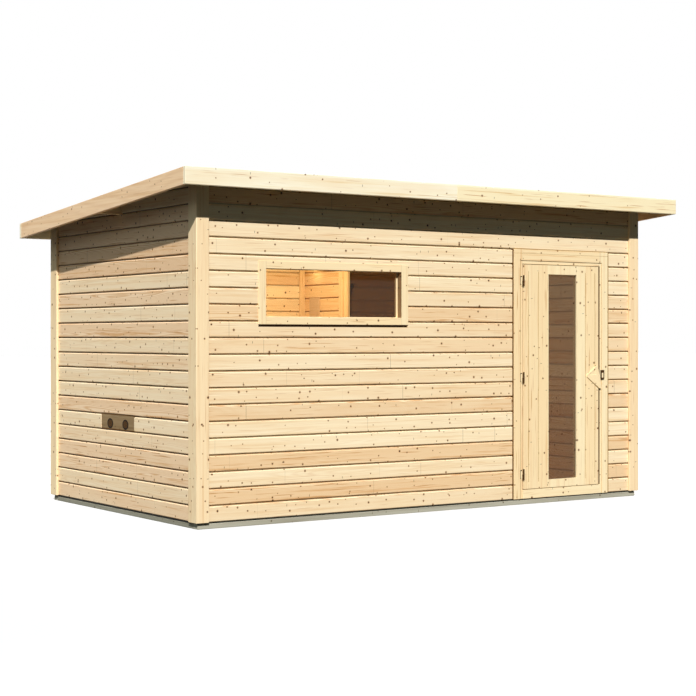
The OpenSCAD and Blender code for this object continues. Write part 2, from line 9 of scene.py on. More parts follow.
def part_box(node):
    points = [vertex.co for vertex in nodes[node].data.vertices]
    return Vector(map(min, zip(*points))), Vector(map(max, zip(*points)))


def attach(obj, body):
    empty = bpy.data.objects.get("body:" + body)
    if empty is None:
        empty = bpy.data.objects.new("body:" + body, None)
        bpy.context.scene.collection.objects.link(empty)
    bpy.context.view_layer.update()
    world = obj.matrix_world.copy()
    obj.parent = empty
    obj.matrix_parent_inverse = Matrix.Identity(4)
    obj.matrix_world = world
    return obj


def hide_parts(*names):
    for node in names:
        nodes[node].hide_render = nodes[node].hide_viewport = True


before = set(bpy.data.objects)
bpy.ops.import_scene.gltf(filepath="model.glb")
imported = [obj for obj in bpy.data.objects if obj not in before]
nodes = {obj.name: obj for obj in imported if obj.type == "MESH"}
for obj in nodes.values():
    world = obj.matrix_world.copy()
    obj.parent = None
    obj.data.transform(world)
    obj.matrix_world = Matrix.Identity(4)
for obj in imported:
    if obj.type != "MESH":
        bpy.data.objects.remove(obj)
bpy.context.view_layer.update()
cabin, frontDoor, glassDoor = "cabin", "front_door", "glass_door"
print("frame loaded:", len(nodes), "nodes")

camera = {
    "place": (-6.8245, -9.9921, 1.2404),
    "heading": 34.224,  # degrees from the cabin's depth towards its right end
    "lens": 81.10,
    "shift": -0.0153,
}
lensData = bpy.data.cameras.new("photoCamera")
lensData.lens, lensData.sensor_width, lensData.shift_y = camera["lens"], 36, camera["shift"]
lensData.clip_end = 400
photoCamera = bpy.data.objects.new("photoCamera", lensData)
photoCamera.location = camera["place"]
photoCamera.rotation_euler = (math.pi / 2, 0, -math.radians(camera["heading"]))
bpy.context.scene.collection.objects.link(photoCamera)
bpy.context.scene.camera = photoCamera
bpy.context.scene.view_settings.view_transform = "Standard"


# A colour as it is picked in an editor, 0 to 255, made linear for a shader
def colour(red, green, blue):
    linear = [c / 255 / 12.92 if c < 11 else ((c / 255 + 0.055) / 1.055) ** 2.4 for c in (red, green, blue)]
    return (*linear, 1)


# A socket that adds its own Math nodes as it is used in a sum
class Wire:
    def __init__(self, shader, socket):
        self.shader, self.socket = shader, socket

    def other(self, output):
        return Wire(self.shader, self.socket.node.outputs[output])

    def math(self, operation, *others):
        return self.shader.sum(operation, self, *others)

    def __add__(self, value):
        return self.math("ADD", value)

    def __sub__(self, value):
        return self.math("SUBTRACT", value)

    def __rsub__(self, value):
        return self.shader.sum("SUBTRACT", value, self)

    def __mul__(self, value):
        return self.math("MULTIPLY", value)

    def __truediv__(self, value):
        return self.math("DIVIDE", value)

    def __rtruediv__(self, value):
        return self.shader.sum("DIVIDE", value, self)

    def __pow__(self, value):
        return self.math("POWER", value)

    __radd__, __rmul__ = __add__, __mul__


# The nodes of one material, or of the world
class Shader:
    def __init__(self, owner):
        owner.use_nodes = True
        self.owner, self.tree = owner, owner.node_tree
        self.tree.nodes.clear()

    def sum(self, operation, *values):
        return self.node("ShaderNodeMath", {"operation": operation}, dict(enumerate(values)))

    def node(self, kind, settings=None, values=None, output=0):
        made = self.tree.nodes.new(kind)
        for key, value in (settings or {}).items():
            if key == "stops":
                for stop, (position, shade) in zip(made.color_ramp.elements, value):
                    stop.position, stop.color = position, shade
            else:
                setattr(made, key, value)
        for key, value in (values or {}).items():
            if isinstance(value, Wire):
                self.tree.links.new(value.socket, made.inputs[key])
            else:
                made.inputs[key].default_value = value
        return Wire(self, made.outputs[output])

    def split(self, vector):
        first = self.node("ShaderNodeSeparateXYZ", None, {0: vector})
        return first, first.other(1), first.other(2)

    def join(self, x, y, z):
        return self.node("ShaderNodeCombineXYZ", None, {0: x, 1: y, 2: z})

    def noise(self, vector, scale=1.0, detail=2.0, rough=0.5):
        return self.node("ShaderNodeTexNoise", None,
            {"Vector": vector, "Scale": scale, "Detail": detail, "Roughness": rough}, "Fac")

    # 0 below low, 1 above high, eased between; the other way round where low is the larger
    def ease(self, value, low, high):
        return self.node("ShaderNodeMapRange", {"interpolation_type": "SMOOTHSTEP"},
            {"Value": value, "From Min": low, "From Max": high}, "Result")

    def tint(self, amount, first, second, how="MIX"):
        return self.node("ShaderNodeMix", {"data_type": "RGBA", "blend_type": how},
            {0: amount, 6: first, 7: second}, 2)

    def bump(self, height, strength, distance):
        return self.node("ShaderNodeBump", None,
            {"Strength": strength, "Distance": distance, "Height": height})

    def finish(self, surface, kind="ShaderNodeOutputMaterial"):
        out = self.tree.nodes.new(kind)
        self.tree.links.new(surface.socket, out.inputs["Surface"])
        return self.owner


def finishNamed(name):
    s = Shader(bpy.data.materials.new(name))
    s.place = s.node("ShaderNodeTexCoord", output="Object")
    return s


spruceLook = {
    "pale": colour(253, 235, 198),
    "honey": colour(246, 221, 178),
    "late": colour(216, 166, 112),  # the dark part of a growth ring
    "blush": colour(240, 206, 160),
    "halo": colour(190, 132, 74),  # wood round a knot
    "knot": colour(60, 30, 8),
    "grooveShade": colour(104, 70, 30),  # painted shade at the bottom of the joints between planks
    "grooveShadeShare": 0.42,
    "ringWidth": 0.0062,
    "ringDepth": 0.62,
    "knotRadius": 0.0042,
    "knotShare": 0.42,  # share of the knot places left empty
    "seam": 0.25,
    "rough": 0.62,
}
# Left wall's copy: its lighter, pinker blush is painted light that evens out the weaker, cooler light on this side,
# and its joints get deeper painted shade
leftPaintedLightLook = {**spruceLook, "pale": colour(254, 234, 198), "honey": colour(249, 222, 180),
    "blush": colour(251, 218, 180), "grooveShade": colour(84, 56, 22), "grooveShadeShare": 0.85, "knotShare": 0.34}
postLook = {**spruceLook, "pale": colour(252, 228, 186), "honey": colour(247, 218, 172),
    "ringDepth": 0.14, "knotRadius": 0.0050, "knotShare": 0.3}
trimLook = {**spruceLook, "pale": colour(252, 234, 191), "honey": colour(248, 225, 180),
    "blush": colour(249, 221, 172), "late": colour(230, 190, 138), "ringDepth": 0.28,
    "knotRadius": 0.0046, "knotShare": 0.45}
fasciaLook = {**spruceLook, "pale": colour(254, 250, 228), "honey": colour(250, 242, 210),
    "late": colour(230, 198, 146), "ringDepth": 0.3, "knotShare": 0.66}
fasciaRightLook = {**fasciaLook, "pale": colour(254, 251, 220), "honey": colour(252, 243, 204),
    "blush": colour(250, 234, 192)}
fasciaSideLook = {**fasciaLook, "pale": colour(250, 216, 176), "honey": colour(238, 198, 152),
    "late": colour(206, 154, 106), "ringDepth": 0.5}
# Roof boards made dark and grey: painted shade of the eaves' underside
soffitShadeLook = {**spruceLook, "pale": colour(114, 114, 94), "honey": colour(106, 104, 84),
    "late": colour(92, 84, 64), "blush": colour(108, 102, 82), "halo": colour(84, 74, 54)}
# Sauna-side wood: its warm honey tone is partly the wood's own and partly painted warm lamp light; its joints get
# deeper painted shade
roomLook = {**spruceLook, "knotShare": 0.7, "pale": colour(248, 216, 168), "honey": colour(240, 202, 148),
    "late": colour(220, 168, 108), "grooveShade": colour(150, 92, 40), "grooveShadeShare": 0.7}
# Paler copy for the corner batten and the grips: painted light of the sauna lamp
battenPaintedLightLook = {**roomLook, "pale": colour(255, 240, 196), "honey": colour(252, 230, 178)}
panelLook = {**roomLook, "pale": colour(216, 190, 156), "honey": colour(204, 174, 138),
    "blush": colour(208, 180, 146), "ringDepth": 0.2, "knotShare": 0.9}
sillSideLook = {**spruceLook, "pale": colour(168, 164, 146), "honey": colour(140, 136, 118),
    "late": colour(108, 104, 88), "blush": colour(156, 148, 126), "halo": colour(112, 100, 78),
    "knot": colour(70, 60, 44), "ringDepth": 0.5, "knotShare": 0.6}
sillLook = {**spruceLook, "pale": colour(188, 183, 164), "honey": colour(160, 154, 134),
    "late": colour(134, 127, 106), "blush": colour(172, 160, 136), "halo": colour(130, 114, 88),
    "knot": colour(84, 70, 50), "ringDepth": 0.3, "knotShare": 0.6}
ventLook = {**spruceLook, "pale": colour(158, 132, 94), "honey": colour(134, 108, 72),
    "late": colour(102, 78, 50), "blush": colour(144, 114, 80), "halo": colour(96, 72, 46),
    "knot": colour(70, 48, 30), "knotShare": 0.6}


# Planed softwood. grain and stack are the axes along the fibres and across the boards,
# which are pitch wide from foot on; middle is the boards' middle on the third axis.
# turned=(low, high, above) is the part of a frame, between low and high across it and higher
# than above, where the fibres run level. grooved adds finger joints and paints shade into the bottom
# of the joints between planks.
def timber(name, look, grain, stack, pitch, foot=0.0, middle=0.0, seed=0.0, turned=None, grooved=False):
    s = finishNamed(name)
    axes = s.split(s.place)
    along, across, deep = axes[grain], axes[stack], axes[3 - grain - stack]
    level = seam = 0.0
    if turned:
        low, high, above = turned
        level = across.math("GREATER_THAN", low) * across.math("LESS_THAN", high) * along.math("GREATER_THAN", above)
        seam = (across - low).math("ABSOLUTE").math("MINIMUM", (across - high).math("ABSOLUTE"))
        seam = seam.math("LESS_THAN", 0.0011) * along.math("GREATER_THAN", above)
        swap = level * (across - along)
        along, across = along + swap, across - swap
    row = ((across - foot) / pitch).math("FLOOR") + level * 3
    chance = s.node("ShaderNodeTexWhiteNoise", {"noise_dimensions": "1D"}, {"W": row + seed * 17.3}, "Color")
    first, second, third = s.split(chance)
    local = across - foot - (row + 0.5) * pitch
    run = along + first * 37 + seed
    # growth rings round a heart that wanders beside the board
    wander = s.noise(s.join(run * 1.3, row * 3.1, seed), 1.0, 1.5) - 0.5
    drift = s.noise(s.join(run * 0.8, row * 1.7, seed + 5), 1.0, 1.0) - 0.5
    heartAcross = (second - 0.5) * (pitch * 1.3) + wander * 0.09
    heartDeep = third * 0.05 + 0.022 + drift * 0.05
    reach = ((local - heartAcross) ** 2 + (deep - middle + heartDeep) ** 2) ** 0.5
    # knots: one place in each cell of a loose grid, many of them empty
    cell = 12.5
    spots = s.node("ShaderNodeTexVoronoi", {"voronoi_dimensions": "2D"},
        {"Vector": s.join(run * cell, (local + deep - middle + row * 2.37) * cell, 0.0), "Scale": 1.0}, "Distance")
    sizes, shade, _ = s.split(spots.other("Color"))
    away = spots / cell
    live = sizes.math("GREATER_THAN", look["knotShare"])
    grown = (sizes - look["knotShare"]).math("MAXIMUM", 0.0) / (1 - look["knotShare"])
    radius = grown ** 1.7 * look["knotRadius"] + 0.0028
    core = s.ease(away, radius, radius * 0.85) * live
    halo = s.ease(away, radius * 2.1 + 0.0005, radius * 0.85) * live
    # spike knots: short dark dashes across the fibres
    spikes = s.node("ShaderNodeTexVoronoi", {"voronoi_dimensions": "2D"},
        {"Vector": s.join(run * 9.0, (local + deep - middle + row * 1.31) * 2.1, 0.0), "Scale": 1.0}, "Distance")
    kept, _, _ = s.split(spikes.other("Color"))
    dash = s.ease(spikes, 0.021, 0.015) * kept.math("GREATER_THAN", 0.45)
    # finger joints: a fine line across some of the boards
    length = 0.62
    piece = (run / length).math("FLOOR")
    draw = s.node("ShaderNodeTexWhiteNoise", {"noise_dimensions": "1D"}, {"W": piece * 3.71 + row * 7.3 + seed}, "Color")
    where, strong, _ = s.split(draw)
    finger = ((run / length - piece - 0.15 - where * 0.7) * length).math("ABSOLUTE").math("LESS_THAN", 0.0012)
    rings = (reach + halo * 0.005) * (math.tau / look["ringWidth"]) + wander * 7
    rings = rings.math("SINE") * 0.5 + 0.5
    fibre = s.noise(s.join(run * 5, local * 420, deep * 420), 1.0, 2.0)
    streak = s.noise(s.join(run * 1.1, local * 46, deep * 46 + row * 5), 1.0, 3.0, 0.62)
    cloud = s.noise(s.join(run * 1.9, local * 10, row * 7.7), 1.0, 2.0)
    thread = s.noise(s.join(run * 3.4, local * 120, row * 9.1 + deep * 60), 1.0, 1.0)
    warm = s.ease(first + cloud * 0.5, 0.55, 1.15)  # boards and patches with more colour
    base = s.tint(s.ease(streak, 0.3, 0.72), look["pale"], look["honey"])
    base = s.tint(warm * 0.75, base, look["blush"])
    bold = s.ease(second, 0.74, 0.92) * 0.9  # boards with a lively grain
    base = s.tint(rings ** 2.5 * look["ringDepth"] * (0.3 + warm * 0.8 + bold), base, look["late"])
    base = s.tint(s.ease(streak, 0.56, 0.7) * (0.22 + warm * 0.7), base, look["late"])
    base = s.tint(s.ease(thread, 0.65, 0.75) * (0.3 + warm * 0.6), base, look["halo"])
    base = s.tint(third * 0.25 * fibre, base, look["late"])
    base = s.tint(halo * 0.5, base, look["halo"])
    base = s.tint(dash * 0.75, base, look["knot"])
    base = s.tint(core * (0.85 + shade * 0.15), base, look["knot"])
    if turned:
        base = s.tint(seam * look["seam"], base, look["knot"])
    if grooved:
        base = s.tint(finger * (strong ** 3 * 0.7), base, look["knot"])
        # painted shade: darker towards the bottom of the joints between planks
        grooveShade = s.ease((deep - middle).math("ABSOLUTE"), 0.0134, 0.0108)
        base = s.tint(grooveShade * look["grooveShadeShare"], base, look["grooveShade"])
    height = fibre * 0.5 + rings * 0.3 - core * 0.4
    return s.finish(s.node("ShaderNodeBsdfPrincipled", None, {
        "Base Color": base,
        "Roughness": look["rough"] + streak * 0.2 - 0.1,
        "Specular IOR Level": 0.15,
        "Normal": s.bump(height, 0.35, 0.0006),
    }))


# Glass: the tint counts twice, once for each face of the pane
def paneShader(name, shade, shine):
    s = finishNamed(name)
    smear = s.noise(s.place, 3.0, 3.0)
    clear = s.node("ShaderNodeBsdfTransparent", None, {"Color": (*shade, 1)})
    gloss = s.node("ShaderNodeBsdfPrincipled", None,
        {"Base Color": (*shade, 1), "Roughness": 0.02 + smear * 0.05, "Metallic": 0.0,
         "Specular IOR Level": 0.5, "Coat Weight": 1.0})
    edge = s.node("ShaderNodeFresnel", None, {"IOR": 1.45})
    return s.finish(s.node("ShaderNodeMixShader", None,
        {0: edge * shine, 1: clear, 2: gloss}))


def steelShader(name, tone, rough):
    s = finishNamed(name)
    brushed = s.noise(s.node("ShaderNodeMapping", None, {"Vector": s.place, "Scale": (60, 60, 900)}), 1.0, 2.0)
    dulled = s.noise(s.place, 40.0, 3.0)
    return s.finish(s.node("ShaderNodeBsdfPrincipled", None, {
        "Base Color": s.tint(s.ease(dulled, 0.4, 0.75) * 0.6, s.tint(brushed, tone, colour(250, 248, 240)), colour(120, 110, 92)),
        "Metallic": 1.0,
        "Roughness": rough + brushed * 0.15,
        "Normal": s.bump(brushed, 0.2, 0.0002),
    }))


# Hinge steel with a dark barrel between pale plates: the dark barrel is painted shade
def hingeShader(name):
    s = finishNamed(name)
    across, _, _ = s.split(s.place)
    outsideBarrelShade = s.ease((across - 0.7935).math("ABSOLUTE"), 0.0062, 0.0068)
    worn = s.noise(s.place, 60.0, 3.0)
    return s.finish(s.node("ShaderNodeBsdfPrincipled", None, {
        "Base Color": s.tint(outsideBarrelShade, s.tint(worn, colour(50, 30, 8), colour(84, 56, 20)), colour(246, 220, 172)),
        "Roughness": 0.55 - worn * 0.1, "Specular IOR Level": 0.2, "Normal": s.bump(worn, 0.2, 0.0002)}))


def feltShader(name):
    s = finishNamed(name)
    grit = s.noise(s.place, 900.0, 2.0, 0.7)
    patch = s.noise(s.place, 2.2, 4.0)
    base = s.tint(s.ease(grit, 0.35, 0.7), colour(44, 45, 47), colour(96, 97, 100))
    base = s.tint(s.ease(patch, 0.45, 0.75) * 0.4, base, colour(70, 68, 62))
    return s.finish(s.node("ShaderNodeBsdfPrincipled", None, {
        "Base Color": base, "Roughness": 0.92 - grit * 0.1, "Normal": s.bump(grit, 0.6, 0.001)}))


def sealShader(name, dark=colour(42, 29, 16), light=colour(62, 44, 25)):
    s = finishNamed(name)
    grit = s.noise(s.place, 300.0, 2.0)
    return s.finish(s.node("ShaderNodeBsdfPrincipled", None, {
        "Base Color": s.tint(grit, dark, light),
        "Roughness": 0.8 - grit * 0.1, "Specular IOR Level": 0.2, "Normal": s.bump(grit, 0.4, 0.0004)}))


# Dark woven gauze over the vent holes, near black towards its rim as painted shade of the holes' sides
gauze = {"radius": 0.0352, "wide": 1.3, "pitch": 0.242, "depth": -0.0056, "thick": 0.0012, "drop": 0.012}
ventLow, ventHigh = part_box("vent_board")


def gauzeShader(name):
    s = finishNamed(name)
    _, y, z = s.split(s.place)
    weave = (y * (math.tau / 0.0022)).math("SINE") * (z * (math.tau / 0.0022)).math("SINE")
    aside = ((y - (ventLow.y + ventHigh.y) / 2).math("ABSOLUTE") - gauze["pitch"] / 2) / gauze["wide"]
    rim = (aside ** 2 + (z - (ventLow.z + ventHigh.z) / 2 + gauze["drop"]) ** 2) ** 0.5
    return s.finish(s.node("ShaderNodeBsdfPrincipled", None, {
        # near black beyond the rim: painted shade of the holes' sides
        "Base Color": s.tint(s.ease(rim, 0.0210, 0.0300), s.tint(s.ease(weave, -0.3, 0.5), colour(88, 58, 22),
            colour(56, 36, 12)), colour(24, 15, 5)),
        "Roughness": 0.85, "Specular IOR Level": 0.15, "Normal": s.bump(weave, 0.4, 0.0005)}))


wallPitch, wallFoot = 0.109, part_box("front_wall_left")[0].z
frontWood = timber("frontPlanks", spruceLook, 0, 2, wallPitch, wallFoot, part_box("front_wall_left")[0].y + 0.019, 1, None, True)
backWood = timber("backPlanks", spruceLook, 0, 2, wallPitch, wallFoot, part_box("back_wall")[0].y + 0.019, 2, None, True)
leftWood = timber("leftPlanks", leftPaintedLightLook, 1, 2, wallPitch, wallFoot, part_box("left_wall")[0].x + 0.019, 3, None, True)
rightWood = timber("rightPlanks", spruceLook, 1, 2, wallPitch, wallFoot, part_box("right_wall")[0].x + 0.019, 4, None, True)
roomWood = timber("roomPlanks", roomLook, 1, 2, wallPitch, wallFoot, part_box("partition_top")[0].x + 0.019, 5, None, True)
postWood = timber("postTimber", postLook, 2, 0, 0.131, -1.965, -1.06, 6)
trimUp = timber("handleTimber", trimLook, 2, 0, 0.5, 0.1, -1.08, 7)
windowWood = timber("windowTimber", trimLook, 2, 0, 0.4, -2.0, -1.08, 21, (-1.432, -0.321, 0))
doorFrameWood = timber("doorFrameTimber", trimLook, 2, 0, 0.47, 0.706, -1.08, 22, (0.7913, 1.5627, 1.785))
innerFrameWood = timber("innerFrameTimber", roomLook, 2, 1, 0.4, -0.27, 0.31, 23, (-0.2185, 0.4855, 1.859))
trimAlong = timber("levelTrim", trimLook, 0, 2, 0.4, 0.2, -1.08, 8)
trimDeep = timber("deepTrim", trimLook, 1, 2, 0.4, 0.2, 0.3, 9)
leafWood = timber("leafBoards", trimLook, 2, 0, 0.095, 0.846, -1.083, 10)
fasciaAlong = timber("fasciaAlong", fasciaLook, 0, 2, 0.5, 1.8, -1.31, 11)
fasciaWarm = timber("fasciaWarm", fasciaRightLook, 0, 2, 0.5, 1.8, -1.31, 27)
fasciaDeep = timber("fasciaDeep", fasciaSideLook, 1, 2, 0.5, 1.8, 0, 12)
sillAlong = timber("battenAlong", sillLook, 0, 2, 0.2, -0.1, 0, 13)
sillDeep = timber("battenDeep", sillSideLook, 1, 0, 0.2, -0.1, 0, 14)
ventWood = timber("ventBoardWood", ventLook, 1, 2, 0.3, 0.5, -1.93, 15)
floorWood = timber("floorBoards", roomLook, 0, 1, 0.095, 0, 0.05, 16)
roofWood = timber("roofBoards", soffitShadeLook, 1, 0, 0.095, 0, 2.2, 17)
purlinWood = timber("purlinTimber", postLook, 0, 2, 0.4, 2.0, 0, 18)
battenWood = timber("cornerBatten", battenPaintedLightLook, 2, 0, 0.4, 0.1, 1.13, 19)
panelWood = timber("panelTimber", panelLook, 1, 2, 0.4, 1.2, 0.28, 25)
casingWood = timber("casingTimber", roomLook, 2, 1, 0.3, -0.35, 0.28, 24, (-0.262, 0.529, 1.902))
clearGlass = paneShader("windowGlass", (0.985, 0.985, 0.98), 0.2)
bronzeGlass = paneShader("bronzeGlass", (0.70, 0.65, 0.58), 0.5)
roomGlass = paneShader("innerBronzeGlass", (0.43, 0.33, 0.22), 0.3)
hingeShadeFinish = hingeShader("hingeBarrelShade")
steelFinish = steelShader("hingeSteel", colour(214, 206, 184), 0.25)
rimShadeFinish = sealShader("rimPaintedShade", colour(52, 32, 8), colour(78, 50, 16))
highlightFinish = sealShader("paleHighlight", colour(252, 232, 190), colour(244, 216, 166))
brownShadeFinish = sealShader("brownJointShade", colour(88, 54, 14), colour(110, 72, 24))
tanShadeFinish = sealShader("tanJointShade", colour(150, 112, 56), colour(176, 138, 80))
quirkFinish = sealShader("quirkShade", colour(176, 138, 82), colour(204, 168, 112))
baseShadeFinish = sealShader("baseShadeStrip", colour(14, 12, 9), colour(30, 26, 20))
revealShadeWood = timber("revealShadeTimber", ventLook, 2, 1, 0.3, -1.2, -0.33, 26)
feltFinish = feltShader("mineralFelt")
gauzeFinish = gauzeShader("ventGauze")
packingShadeFinish = sealShader("windowPackingShade")
print("materials made")


def keep(name, mesh, finish, body, slotName, *stands):
    data = bpy.data.meshes.new(name)
    mesh.normal_update()
    mesh.to_mesh(data)
    mesh.free()
    data.materials.append(finish)
    piece = bpy.data.objects.new(name, data)
    bpy.context.scene.collection.objects.link(piece)
    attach(piece, body)
    if stands:
        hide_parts(*stands)
    return piece


def bevelled(mesh, edges, soft, steps=1):
    bmesh.ops.bevel(mesh, geom=list(edges), offset=soft, offset_type="OFFSET", segments=steps,
        profile=0.5, affect="EDGES", material=-1, clamp_overlap=True)


# Adds a board between two corners and gives back its edges
def addBoard(mesh, low, high, soft=0.0, wanted=None, steps=1):
    low, high = Vector(low), Vector(high)
    corners = bmesh.ops.create_cube(mesh, size=1)["verts"]
    bmesh.ops.scale(mesh, vec=high - low, verts=corners)
    bmesh.ops.translate(mesh, vec=(low + high) / 2, verts=corners)
    edges = {e for v in corners for e in v.link_edges}
    if soft:
        bevelled(mesh, [e for e in edges if wanted is None or wanted(e)], soft, steps)
    return edges


# Rectangles (a, b, c, d) that are left of one when others are cut out of it
def leftOf(whole, holes):
    left = [whole]
    for h in holes:
        parts = []
        for a, b, c, d in left:
            if h[1] <= a or h[0] >= b or h[3] <= c or h[2] >= d:
                parts.append((a, b, c, d))
                continue
            if h[0] > a:
                parts.append((a, h[0], c, d))
            if h[1] < b:
                parts.append((h[1], b, c, d))
            if h[2] > c:
                parts.append((max(a, h[0]), min(b, h[1]), c, h[2]))
            if h[3] < d:
                parts.append((max(a, h[0]), min(b, h[1]), h[3], d))
        left = parts
    return left


roof = {
    "front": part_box("fascia_front_left")[0].y,
    "slope": math.tan(math.radians(4.4)),
    "boardThick": 0.019,
    "seat": 0.0003,
}
deckLow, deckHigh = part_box("roof_deck")
deckAtFront = deckHigh.z - roof["boardThick"] + roof["slope"] * (deckLow.y - roof["front"])


# Height of the roof boards' lower side at a depth
def deckAt(y):
    return deckAtFront - roof["slope"] * (y - roof["front"])


# Cuts off what stands above the roof boards' lower side and closes the cuts
def cutToRoof(mesh):
    point = (0, roof["front"], deckAt(roof["front"]) - roof["seat"])
    bmesh.ops.bisect_plane(mesh, geom=[*mesh.verts, *mesh.edges, *mesh.faces], plane_co=point,
        plane_no=(0, roof["slope"], 1), clear_outer=True)
    bmesh.ops.holes_fill(mesh, edges=[e for e in mesh.edges if e.is_boundary], sides=0)


planks = {
    "foot": 0.0010,  # distance of a plank's lower side above the middle of the joint
    "head": 0.0070,  # distance of its upper side below that middle
    "underside": 0.0052,  # planed edge along the foot of each plank
    "upside": 0.0070,  # planed edge along its head
    "tongue": 0.0125,  # depth of the tongue that closes the gap
}


# Wall of stacked planks in the space of a node; axis is 0 along the front and 1 along a side
def plankWall(name, node, axis, finish, slotName, holes=()):
    low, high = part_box(node)
    mesh = bmesh.new()

    def board(a, b, c, d, inset):
        near, far = [0, 0, c], [0, 0, d]
        near[axis], far[axis] = a, b
        near[1 - axis], far[1 - axis] = low[1 - axis] + inset, high[1 - axis] - inset
        return addBoard(mesh, near, far)

    def levelEdges(edges, z):
        return [e for e in edges if all(abs(v.co.z - z) < 1e-6 for v in e.verts)
            and abs(e.verts[0].co[1 - axis] - e.verts[1].co[1 - axis]) < 1e-6]

    first = int((low.z - wallFoot + 0.001) / wallPitch)
    last = int(math.ceil((high.z - wallFoot) / wallPitch))
    for row in range(first, last):
        foot, head = wallFoot + row * wallPitch, wallFoot + (row + 1) * wallPitch
        for a, b, c, d in leftOf((low[axis], high[axis], max(foot, low.z), min(head, high.z + 0.05)), holes):
            atFoot, atHead = abs(c - foot) < 0.001, abs(d - head) < 0.001
            c, d = c + atFoot * planks["foot"], d - atHead * planks["head"]
            if d - c < planks["underside"] + planks["upside"]:
                continue
            edges = board(a, b, c, d, 0)
            under = levelEdges(edges, c) if atFoot else []
            over = levelEdges(edges, d) if atHead else []
            if under:
                bevelled(mesh, under, planks["underside"])
            if over:
                bevelled(mesh, over, planks["upside"])
    for a, b, c, d in leftOf((low[axis], high[axis], low.z + 0.006, high.z + 0.05), holes):
        board(a + 0.0015, b - 0.0015, c, d, planks["tongue"])
    cutToRoof(mesh)
    return keep(name, mesh, finish, cabin, slotName, node)


windowLow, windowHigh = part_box("window_frame")
purlinLow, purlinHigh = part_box("purlin")
joint = 0.0003
purlinHole = (purlinLow.y - joint, purlinHigh.y + joint, purlinLow.z - joint, 9)
plankWall("planksFrontLeft", "front_wall_left", 0, frontWood, "wall_wood",
    [(windowLow.x - joint, windowHigh.x + joint, windowLow.z - 0.0165, windowHigh.z + joint)])
plankWall("planksFrontRight", "front_wall_right", 0, frontWood, "wall_wood")
plankWall("planksFrontTop", "front_wall_top", 0, frontWood, "wall_wood")
plankWall("planksBack", "back_wall", 0, backWood, "wall_wood")
plankWall("planksLeft", "left_wall", 1, leftWood, "wall_wood",
    [purlinHole, (ventLow.y - joint, ventHigh.y + joint, ventLow.z - joint, ventHigh.z + joint)])
plankWall("planksRight", "right_wall", 1, rightWood, "wall_wood", [purlinHole])
for part in ("front", "back", "top"):
    plankWall("partition" + part.capitalize(), "partition_" + part, 1, roomWood, "room_wood", [purlinHole])

# Sealing strip in the joint that the wall leaves under the window, dark as painted shade of that joint
packing = {"high": 0.0159, "front": -1.0840, "back": -1.0738, "soft": 0.002}
mesh = bmesh.new()
addBoard(mesh, (windowLow.x, packing["front"], windowLow.z - packing["high"] - joint),
    (windowHigh.x, packing["back"], windowLow.z - joint), packing["soft"], None, 2)
keep("windowPacking", mesh, packingShadeFinish, cabin, "frame_wood")

# Thin dark lining in the window's reveal and beside its bead: painted shade in the reveal
lining = {"thick": 0.0010, "front": -1.0990, "back": -1.0540, "side": 0.057, "rail": 0.050, "bead": 0.015}
inLow = (windowLow.x + lining["side"], windowLow.z + lining["rail"])
inHigh = (windowHigh.x - lining["side"], windowHigh.z - lining["rail"])
mesh = bmesh.new()
for near in (inLow[0], inHigh[0] - lining["thick"]):
    addBoard(mesh, (near, lining["front"], inLow[1]), (near + lining["thick"], lining["back"], inHigh[1]), 0.0002)
addBoard(mesh, (inLow[0] + lining["thick"], lining["front"], inHigh[1] - lining["thick"]),
    (inHigh[0] - lining["thick"], lining["back"], inHigh[1]), 0.0002)
bead = inHigh[0] - lining["bead"]
addBoard(mesh, (bead - lining["thick"], -1.0533, inLow[1] + 0.004), (bead, -1.0389, inHigh[1] - 0.004), 0.0002)
keep("windowLining", mesh, revealShadeWood, cabin, "frame_wood")

# Oval gauze over the two round holes of the vent board, and a dark edging round the board: painted shade in its joint
edging = {"wide": 0.0034, "high": 0.0046, "face": -0.0052, "back": 0.002}
mesh = bmesh.new()
for low, high in (((ventLow.y, ventLow.z), (ventLow.y + edging["wide"], ventHigh.z)),
        ((ventHigh.y - edging["wide"], ventLow.z), (ventHigh.y, ventHigh.z)),
        ((ventLow.y + edging["wide"], ventHigh.z - edging["high"]), (ventHigh.y - edging["wide"], ventHigh.z)),
        ((ventLow.y + edging["wide"], ventLow.z), (ventHigh.y - edging["wide"], ventLow.z + edging["high"]))):
    addBoard(mesh, (ventLow.x + edging["face"], *low), (ventLow.x + edging["back"], *high), 0.0003)
keep("ventEdging", mesh, brownShadeFinish, cabin, "vent_wood")
mesh = bmesh.new()
for side in (-1, 1):
    turn = Matrix.Translation((ventLow.x + gauze["depth"], (ventLow.y + ventHigh.y) / 2 + side * gauze["pitch"] / 2,
        (ventLow.z + ventHigh.z) / 2 - gauze["drop"])) @ Matrix.Scale(gauze["wide"], 4, (0, 1, 0)) \
        @ Matrix.Rotation(math.pi / 2, 4, "Y")
    bmesh.ops.create_cone(mesh, cap_ends=True, segments=40, radius1=gauze["radius"], radius2=gauze["radius"],
        depth=gauze["thick"], matrix=turn)
keep("ventGauze", mesh, gauzeFinish, cabin, "vent_wood")
print("walls planked")


# Copy of a node with its loose triangles joined and its sharp edges planed off
def softened(name, node, finish, body, slotName, soft=0.002, steps=2, outwards=0.0):
    mesh = bmesh.new()
    mesh.from_mesh(nodes[node].data)
    bmesh.ops.remove_doubles(mesh, verts=mesh.verts, dist=0.00002)
    face = min(v.co.x for v in mesh.verts)
    bmesh.ops.translate(mesh, vec=(-outwards, 0, 0), verts=[v for v in mesh.verts if v.co.x < face + 0.0001])
    bmesh.ops.dissolve_limit(mesh, angle_limit=math.radians(1), verts=mesh.verts, edges=mesh.edges)
    sharp = [e for e in mesh.edges if len(e.link_faces) == 2 and e.calc_face_angle(0) > math.radians(25)]
    bevelled(mesh, sharp, soft, steps)
    return keep(name, mesh, finish, body, slotName, node)


